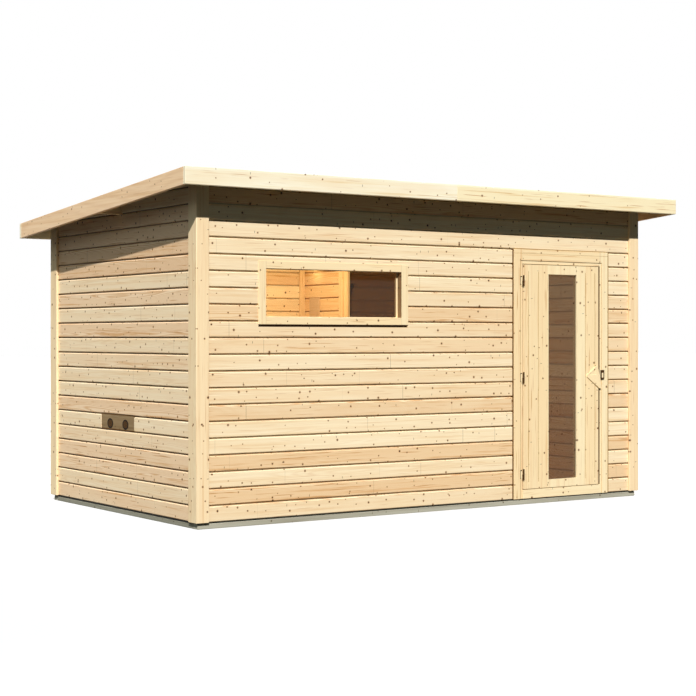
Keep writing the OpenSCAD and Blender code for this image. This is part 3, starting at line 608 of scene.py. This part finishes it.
for corner in ("front_left", "front_right", "back_left", "back_right"):
    name = "cornerPost" + "".join(w.capitalize() for w in corner.split("_"))
    softened(name, "post_" + corner, postWood, cabin, "post_wood", 0.0025)
# Dark strip on each batten under the wall's foot: painted shade of the joint under the planks and posts
baseShade = {"front": 0.0078, "back": 0.0078, "left": 0.0115, "right": 0.0115, "inset": 0.004, "soft": 0.003}
for side, finish in (("front", sillAlong), ("back", sillAlong), ("left", sillDeep), ("right", sillDeep)):
    low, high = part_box("sill_" + side)
    mesh = bmesh.new()
    addBoard(mesh, low, (high.x, high.y, high.z - baseShade[side]), baseShade["soft"], None, 2)
    keep("batten" + side.capitalize(), mesh, finish, cabin, "base_wood", "sill_" + side)
    mesh = bmesh.new()
    inset = Vector((baseShade["inset"], baseShade["inset"], 0))
    addBoard(mesh, Vector((low.x, low.y, high.z - baseShade[side])) + inset, high - inset, 0.0005)
    keep("battenStrip" + side.capitalize(), mesh, baseShadeFinish, cabin, "base_wood", "sill_" + side)
softened("joists", "floor_joists", sillDeep, cabin, "base_wood", 0.003)
softened("fasciaFrontLeft", "fascia_front_left", fasciaAlong, cabin, "fascia_wood", 0.0025)
softened("fasciaFrontRight", "fascia_front_right", fasciaWarm, cabin, "fascia_wood", 0.0025)
softened("fasciaLeft", "fascia_left", fasciaDeep, cabin, "fascia_wood", 0.0025)
softened("fasciaRight", "fascia_right", fasciaDeep, cabin, "fascia_wood", 0.0025)
softened("fasciaBack", "fascia_back", fasciaAlong, cabin, "fascia_wood", 0.0025)
softened("middlePurlin", "purlin", purlinWood, cabin, "roof_wood", 0.003)
softened("cornerBattens", "corner_battens", battenWood, cabin, "room_wood", 0.002)
softened("ventBoard", "vent_board", ventWood, cabin, "vent_wood", 0.0015, 2, 0.0045)
softened("doorLeaf", "door_leaf", leafWood, frontDoor, "frame_wood", 0.0012)
softened("doorFrame", "door_frame", doorFrameWood, cabin, "frame_wood", 0.0015)
softened("doorThreshold", "door_threshold", trimAlong, cabin, "frame_wood", 0.002)
softened("windowFrame", "window_frame", windowWood, cabin, "frame_wood", 0.0018)
softened("innerDoorFrame", "inner_door_frame", innerFrameWood, cabin, "room_wood", 0.002)
softened("innerDoorGrips", "inner_door_handle", battenWood, glassDoor, "room_wood", 0.003)

# Triangular handle: a thin board with rounded corners and a shallow finger recess in its upper half
handle = {"round": 0.012, "tip": 0.098, "lean": 0.035, "thick": 0.0105, "thin": 0.0070, "soft": 0.0014,
    "recessAt": 0.100, "recessIn": 0.013, "recessDeep": 0.0022}
handleLow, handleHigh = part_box("door_handle")
mesh = bmesh.new()
for x, z, thick in ((handleHigh.x - handle["round"], handleLow.z + handle["round"], handle["thick"]),
        (handleHigh.x - handle["lean"] - handle["round"], handleHigh.z - handle["round"], handle["thick"]),
        (handleLow.x + handle["round"], handleLow.z + handle["tip"], handle["thin"])):
    turn = Matrix.Translation((x, handleHigh.y - thick / 2, z)) @ Matrix.Rotation(math.pi / 2, 4, "X")
    bmesh.ops.create_cone(mesh, cap_ends=True, segments=32, radius1=handle["round"], radius2=handle["round"],
        depth=thick, matrix=turn)
bmesh.ops.delete(mesh, geom=mesh.edges[:] + mesh.faces[:], context="EDGES_FACES")
hull = bmesh.ops.convex_hull(mesh, input=mesh.verts)
bmesh.ops.delete(mesh, geom=list({*hull["geom_interior"], *hull["geom_unused"]}), context="VERTS")
bmesh.ops.dissolve_limit(mesh, angle_limit=math.radians(1), verts=mesh.verts, edges=mesh.edges)
mesh.normal_update()
front = max((f for f in mesh.faces if f.normal.y < -0.9), key=lambda f: f.calc_area())
bmesh.ops.bisect_plane(mesh, geom=[*front.verts, *front.edges, front],
    plane_co=(0, 0, handleLow.z + handle["recessAt"]), plane_no=(0, 0, 1))
mesh.normal_update()
upper = max((f for f in mesh.faces if f.normal.y < -0.9 and f.calc_center_median().z > handleLow.z + handle["recessAt"]),
    key=lambda f: f.calc_area())
bmesh.ops.inset_region(mesh, faces=[upper], thickness=handle["recessIn"], depth=0.0)
bmesh.ops.inset_region(mesh, faces=[upper], thickness=0.003, depth=-handle["recessDeep"])
bevelled(mesh, [e for e in mesh.edges if len(e.link_faces) == 2 and 40 < math.degrees(e.calc_face_angle(0)) < 120
    and max(v.co.y for v in e.verts) < handleHigh.y - 0.001], handle["soft"], 2)
keep("doorHandle", mesh, trimUp, frontDoor, "frame_wood", "door_handle")

# Dark rims round pale plates beside the hinges and on the catch: painted shade round a painted highlight of the steel
fitting = {"near": 0.7665, "rim": 0.0072, "far": 0.7872, "half": 0.033, "face": -1.0982, "thick": 0.0010, "rise": 0.0008}
leafLow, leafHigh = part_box("door_leaf")
catchLow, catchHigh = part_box("door_catch")
pins = [leafLow.z + 0.110, leafLow.z + (leafHigh.z - leafLow.z + 0.110 - 0.120) / 2, leafHigh.z - 0.120]
rims, plates = bmesh.new(), bmesh.new()
for z in pins:
    low, high = Vector((fitting["near"], fitting["face"], z - fitting["half"])), Vector((fitting["far"], 0, z + fitting["half"]))
    addBoard(rims, (low.x, low.y - fitting["thick"], low.z), (high.x, low.y, high.z), 0.0003)
    addBoard(plates, (low.x + fitting["rim"], low.y - fitting["thick"] - fitting["rise"], low.z + fitting["rim"]),
        (high.x - 0.001, low.y - fitting["thick"], high.z - fitting["rim"]), 0.0003)
addBoard(rims, (catchLow.x - 0.003, catchLow.y - 0.0006, catchLow.z - 0.004), (catchHigh.x + 0.002, catchLow.y - 0.0001, catchHigh.z), 0.0001)
addBoard(plates, (catchLow.x + 0.0035, catchLow.y - 0.0012, catchLow.z + 0.006),
    (catchHigh.x - 0.0085, catchLow.y - 0.0006, catchHigh.z - 0.022), 0.0001)
keep("hingeRims", rims, rimShadeFinish, cabin, "hinge_steel")
keep("hingePlates", plates, highlightFinish, cabin, "hinge_steel")
# the hinge barrels carry painted shade, and the catch is dark as painted shade round its pale plate
for node, finish in (("frame_hinges", hingeShadeFinish), ("leaf_hinges", hingeShadeFinish), ("door_catch", rimShadeFinish),
        ("inner_frame_hinges", steelFinish), ("inner_glass_hinges", steelFinish), ("window_glass", clearGlass), ("door_leaf_glass", bronzeGlass), ("inner_door_glass", roomGlass)):
    nodes[node].data.materials.clear()
    nodes[node].data.materials.append(finish)

# Strips in the open joints beside the door frame, dark as painted shade of the joints; a thin strip in front paints
# that shade over the plank ends
seal = {"front": -1.0956, "back": -1.0700, "low": 0.0445, "high": 1.8930}
frameLow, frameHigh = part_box("door_frame")
wallEnd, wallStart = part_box("front_wall_left")[1].x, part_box("front_wall_right")[0].x
for name, near, far, shown, hidden, finish in (("doorSealLeft", wallEnd, frameLow.x, wallEnd - 0.0030, frameLow.x, brownShadeFinish),
        ("doorSealRight", frameHigh.x, wallStart, frameHigh.x, wallStart + 0.0045, tanShadeFinish)):
    mesh = bmesh.new()
    addBoard(mesh, (near + joint, seal["front"], seal["low"]), (far - joint, seal["back"], seal["high"]), 0.001, None, 2)
    addBoard(mesh, (shown + joint, seal["front"] - 0.0017, seal["low"]), (hidden - joint, seal["front"] - 0.0011, seal["high"]), 0.0001)
    keep(name, mesh, finish, cabin, "frame_wood")

# Gasket along the inside of the frame, beside and over the leaf; its dark colour and the lip over the frame's face are
# painted shade of the latch gap, and the thin tan strips paint lighter shade in the gaps at the hinges and head
gasket = {"thick": 0.0026, "thin": 0.0014, "front": -1.0965, "back": -1.0592, "lip": -1.0998, "over": 0.0040}
stepLeft, stepRight, stepTop = 0.7910, 1.5630, 1.7870
mesh = bmesh.new()
addBoard(mesh, (stepRight - gasket["thick"], gasket["front"], leafLow.z), (stepRight - joint, gasket["back"], stepTop - joint), 0.0006, None, 2)
addBoard(mesh, (stepRight - gasket["thick"], gasket["lip"], leafLow.z), (stepRight + gasket["over"], gasket["front"] - 0.0016, stepTop), 0.0006, None, 2)
keep("doorGasket", mesh, brownShadeFinish, cabin, "frame_wood")
mesh = bmesh.new()
addBoard(mesh, (stepLeft + joint, gasket["front"], leafLow.z), (stepLeft + gasket["thin"], gasket["back"], stepTop - joint), 0.0004)
addBoard(mesh, (stepLeft + gasket["thin"], gasket["front"], stepTop - gasket["thin"]), (stepRight - gasket["thick"], gasket["back"], stepTop - joint), 0.0004)
keep("thinGasket", mesh, tanShadeFinish, cabin, "frame_wood")

# Fine lines of painted shade in the corner of the frame's step, under its drip board and over its head
line = {"wide": 0.0034, "face": -1.0980, "rise": 0.0006, "stepOut": 0.025, "drip": (1.8628, 1.8646), "head": 0.0062}
a, b, top = stepLeft - line["stepOut"], stepRight + line["stepOut"], stepTop + line["stepOut"]
mesh = bmesh.new()
for low, high in (((a + 0.004, frameLow.z + 0.001), (a + 0.004 + line["wide"], top)), ((b - line["wide"], frameLow.z + 0.001), (b, top)),
        ((a, top - line["wide"]), (b, top))):
    addBoard(mesh, (low[0], line["face"] - line["rise"], low[1]), (high[0], line["face"] + 0.0004, high[1]), 0.0001)
addBoard(mesh, (frameLow.x + 0.001, -1.1029, line["drip"][0]), (frameHigh.x - 0.001, -1.1014, line["drip"][1]), 0.0001)
keep("frameLines", mesh, quirkFinish, cabin, "frame_wood")
mesh = bmesh.new()
addBoard(mesh, (frameLow.x, -1.0974, frameHigh.z + 0.0003), (frameHigh.x, -1.0967, frameHigh.z + line["head"]), 0.0001)
keep("headJoint", mesh, tanShadeFinish, cabin, "frame_wood")

# Shaded bottoms of the grooves between the leaf's boards
groove = {"places": (0.846, 0.945, 1.416, 1.515), "half": 0.0021, "in": 0.0003, "deep": 0.0012, "rail": 0.050}
mesh = bmesh.new()
for x in groove["places"]:
    addBoard(mesh, (x - groove["half"], leafLow.y + groove["in"], leafLow.z + groove["rail"]),
        (x + groove["half"], leafLow.y + groove["deep"], leafHigh.z - groove["rail"]), 0.0002)
keep("leafGrooves", mesh, quirkFinish, frontDoor, "frame_wood")

# Boards round the inner doorway on the sauna side
casing = {"width": 0.058, "thick": 0.018, "soft": 0.002}
innerLow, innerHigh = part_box("inner_door_frame")
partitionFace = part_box("partition_top")[0].x
near, far, top = innerLow.y - joint, innerHigh.y + joint, innerHigh.z + joint
mesh = bmesh.new()
for a, b, c, d in ((near - casing["width"], near, innerLow.z, top), (far, far + casing["width"], innerLow.z, top),
        (near - casing["width"], far + casing["width"], top, top + casing["width"])):
    addBoard(mesh, (partitionFace - casing["thick"], a, c), (partitionFace - joint, b, d), casing["soft"], None, 2)
keep("doorwayCasing", mesh, casingWood, cabin, "room_wood")

# Plain greyish board on the partition, seen through the window
panel = {"near": 0.889, "far": 1.034, "foot": 1.250, "top": 1.570, "thick": 0.012}
mesh = bmesh.new()
addBoard(mesh, (partitionFace - panel["thick"], panel["near"], panel["foot"]),
    (partitionFace - joint, panel["far"], panel["top"]), 0.002, None, 2)
keep("partitionPanel", mesh, panelWood, cabin, "room_wood")
print("frames, posts and trim softened")

boards = {"width": 0.095, "gap": 0.0012, "soft": 0.0015}


def floorBoards(name, node):
    low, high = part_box(node)
    holes = []
    for post in ("front_left", "front_right", "back_left", "back_right"):
        a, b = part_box("post_" + post)
        holes.append((a.x - 0.006, b.x + 0.006, a.y - 0.006, b.y + 0.006))
    a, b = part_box("door_frame")
    holes.append((a.x - 0.006, b.x + 0.006, a.y - 0.006, b.y + 0.006))
    mesh = bmesh.new()
    for row in range(int(low.y / boards["width"]) - 1, int(high.y / boards["width"]) + 1):
        near, far = row * boards["width"], (row + 1) * boards["width"]
        whole = (low.x, high.x, max(near, low.y) + boards["gap"] / 2, min(far, high.y) - boards["gap"] / 2)
        if whole[3] - whole[2] < 0.004:
            continue
        for a, b, c, d in leftOf(whole, holes):
            addBoard(mesh, (a, c, low.z), (b, d, high.z), boards["soft"])
    return keep(name, mesh, floorWood, cabin, "floor_wood", node)


floorBoards("saunaFloor", "floor_sauna")
floorBoards("frontRoomFloor", "floor_vestibule")


# Slopes what was built level, so that its height 0 lies on the roof boards' lower side
def slopeToRoof(mesh):
    tilt = Matrix.Identity(4)
    tilt[2][1] = -roof["slope"]
    tilt[2][3] = deckAt(0)
    bmesh.ops.transform(mesh, matrix=tilt, verts=mesh.verts)


mesh = bmesh.new()
for row in range(int(deckLow.x / boards["width"]) - 1, int(deckHigh.x / boards["width"]) + 1):
    near, far = max(row * boards["width"], deckLow.x), min((row + 1) * boards["width"], deckHigh.x)
    if far - near > 0.004:
        addBoard(mesh, (near + 0.0004, deckLow.y, 0), (far - 0.0004, deckHigh.y, roof["boardThick"]), 0.003,
            lambda e: abs(e.verts[0].co.x - e.verts[1].co.x) < 1e-6 and max(v.co.z for v in e.verts) < 1e-6)
slopeToRoof(mesh)
keep("roofBoards", mesh, roofWood, cabin, "roof_wood", "roof_deck")

felt = {"strips": 3, "lap": 0.08, "thick": 0.0019}
feltLow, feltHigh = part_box("roof_felt")
mesh = bmesh.new()
span = (feltHigh.y - feltLow.y) / felt["strips"]
for strip in range(felt["strips"]):
    near = feltLow.y + strip * span
    far = near + span + (felt["lap"] if strip < felt["strips"] - 1 else 0)
    lift = roof["boardThick"] + (0.00002 if strip == felt["strips"] - 1 else felt["thick"])
    base = roof["boardThick"]
    addBoard(mesh, (feltLow.x, near, base), (feltHigh.x, min(near + span, far), base + felt["thick"]), 0.0004)
    if strip < felt["strips"] - 1:  # the lap over the next strip down the slope
        addBoard(mesh, (feltLow.x, near + span - 0.02, lift), (feltHigh.x, far, lift + felt["thick"]), 0.0004)
slopeToRoof(mesh)
keep("roofFelt", mesh, feltFinish, cabin, "felt", "roof_felt")
print("floors and roof laid")

stage = {
    "fill": 0.053,  # sky light on the object
    "sun": 4.5,
    "sunWay": (1.0, 1.67, -1.50),
    "sunSoft": 0.9,  # degrees
    "backSun": 3.2,
    "backWay": (-0.80, -0.80, -0.38),
    "fillTone": (0.72, 0.98, 0.96, 1),
    "leftSky": 0.86,
    "leftTone": (0.86, 0.95, 0.98),
    "roomLamp": 19.0,
    "roomTone": (0.97, 0.80, 0.50),
    "wallLamp": 7.8,
    "wallTone": (1.0, 0.93, 0.56),
    "glow": 0.10,
    "frontRoomLamp": 8.0,
}


def lamp(name, kind, energy, place, way, tone=(1, 1, 1), **settings):
    data = bpy.data.lights.new(name, kind)
    data.energy, data.color = energy, tone
    for key, value in settings.items():
        setattr(data, key, value)
    made = bpy.data.objects.new(name, data)
    made.location = place
    made.rotation_euler = Vector(way).to_track_quat("-Z", "Y").to_euler()
    bpy.context.scene.collection.objects.link(made)
    made.visible_camera = False
    made.visible_glossy = kind == "SUN"
    return made


lamp("sun", "SUN", stage["sun"], (-6, -10, 9), stage["sunWay"], angle=math.radians(stage["sunSoft"]))
lamp("backSun", "SUN", stage["backSun"], (8, 8, 8), stage["backWay"], angle=math.radians(25))
lamp("leftSky", "SUN", stage["leftSky"], (-8, 0, 8), (1, 0.05, -1.1), stage["leftTone"], angle=math.radians(70))
lamp("saunaLamp", "AREA", stage["roomLamp"], (-0.6, 0.3, 2.05), (0, 0, -1), stage["roomTone"],
    shape="RECTANGLE", size=1.4, size_y=0.9)
lamp("wallLamp", "AREA", stage["wallLamp"], (-0.35, -0.85, 1.98), (0.1, 1, -0.45), stage["wallTone"],
    shape="RECTANGLE", size=0.4, size_y=0.2)
lamp("partitionGlow", "AREA", stage["glow"], (0.20, 0.936, 1.80), (1, 0, -0.45), stage["wallTone"],
    shape="RECTANGLE", size=0.05, size_y=0.05)
lamp("frontRoomLamp", "AREA", stage["frontRoomLamp"], (0.5, 0.1, 1.15), (1, 0, 0), (1, 0.97, 0.94),
    shape="RECTANGLE", size=1.6, size_y=1.6)

ground = finishNamed("paleFloor")
rays = ground.node("ShaderNodeLightPath", output="Is Camera Ray")
seen = rays.math("MAXIMUM", rays.other("Is Glossy Ray")).math("MAXIMUM", rays.other("Is Transmission Ray"))
shown = ground.node("ShaderNodeAddShader", None, {
    0: ground.node("ShaderNodeBsdfDiffuse", None, {"Color": (0.5, 0.5, 0.5, 1)}),
    1: ground.node("ShaderNodeEmission", None, {"Color": (1, 1, 1, 1), "Strength": 0.45}),
})
lit = ground.node("ShaderNodeBsdfDiffuse", None, {"Color": (0.021, 0.026, 0.026, 1)})
mesh = bmesh.new()
bmesh.ops.create_grid(mesh, x_segments=1, y_segments=1, size=80)
data = bpy.data.meshes.new("floor")
mesh.to_mesh(data)
mesh.free()
data.materials.append(ground.finish(ground.node("ShaderNodeMixShader", None, {0: seen, 1: lit, 2: shown})))
floor = bpy.data.objects.new("floor", data)
bpy.context.scene.collection.objects.link(floor)

bpy.context.scene.world = bpy.data.worlds.new("studio")
sky = Shader(bpy.context.scene.world)
rays = sky.node("ShaderNodeLightPath", output="Is Camera Ray")
seen = rays.math("MAXIMUM", rays.other("Is Glossy Ray")).math("MAXIMUM", rays.other("Is Transmission Ray"))
sky.finish(sky.node("ShaderNodeBackground", None, {
    "Color": sky.tint(seen, stage["fillTone"], (1, 1, 1, 1)),
    "Strength": seen * (1 - stage["fill"]) + stage["fill"]}), "ShaderNodeOutputWorld")
print("stage set")
